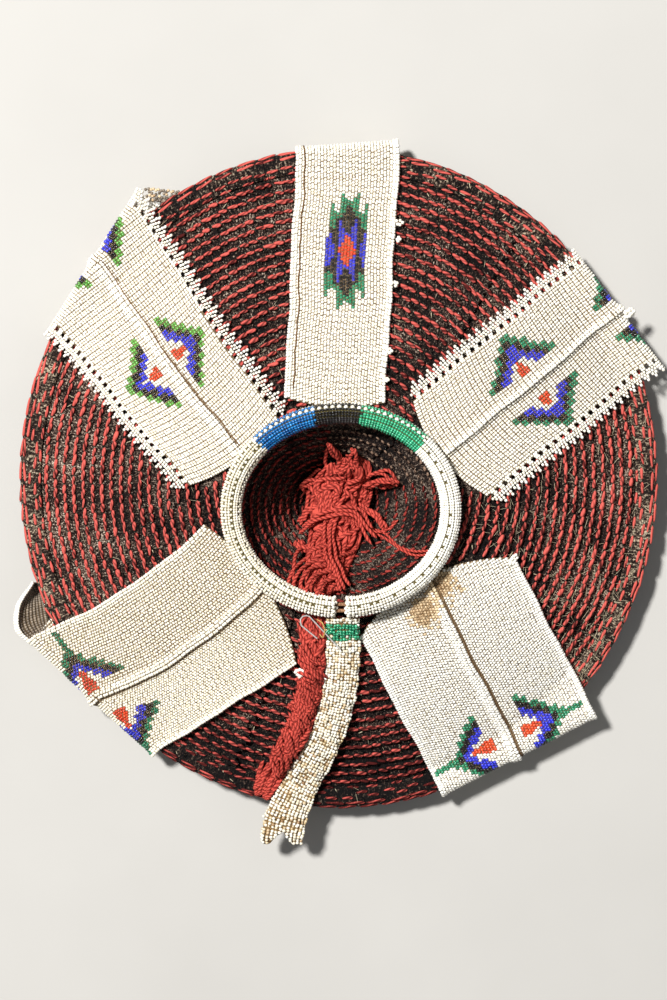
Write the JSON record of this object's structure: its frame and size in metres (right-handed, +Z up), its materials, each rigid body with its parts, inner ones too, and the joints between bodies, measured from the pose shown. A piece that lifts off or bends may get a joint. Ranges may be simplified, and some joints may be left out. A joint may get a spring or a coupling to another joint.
{
  "type": "isicholo hat",
  "caption": "Wide round stitched fibre hat lying on its crown, with a bowl for the head, a beaded band round the opening, beadwork panels folded over the rim and a red yarn tassel.",
  "frame": {"origin": "middle of the crown's flat base, below the middle of the rim, on the surface that the hat lies on", "axes": "+Z up out of the opening for the head, +X to the right, +Y away from the beaded tab"},
  "size_m": [0.4359, 0.4805, 0.0864],
  "materials": {
    "stitched_fibre": "dark plant fibre with rows of brick red stitches",
    "wrapped_fibre": "grey-brown fibre wrapped round the rim",
    "glass_beads": "opaque ivory glass seed beads with blue, black, green and orange-red motifs",
    "brown_cord": "waxed brown thread",
    "red_yarn": "matt twisted wool yarn",
    "steel_wire": "worn bright steel wire"
  },
  "bodies": {
    "root": {"flared_wall": "stitched_fibre", "crown_disc": "stitched_fibre", "rim_binding": "wrapped_fibre", "beaded_band": "glass_beads", "band_cord_upper": "brown_cord", "band_cord_lower": "brown_cord", "panel_top": "glass_beads", "panel_upper_left": "glass_beads", "panel_upper_right": "glass_beads", "panel_lower_left": "glass_beads", "panel_lower_right": "glass_beads", "beaded_tab": "glass_beads", "yarn_tassel": "red_yarn", "safety_pin": "steel_wire"}
  },
  "joints": []
}
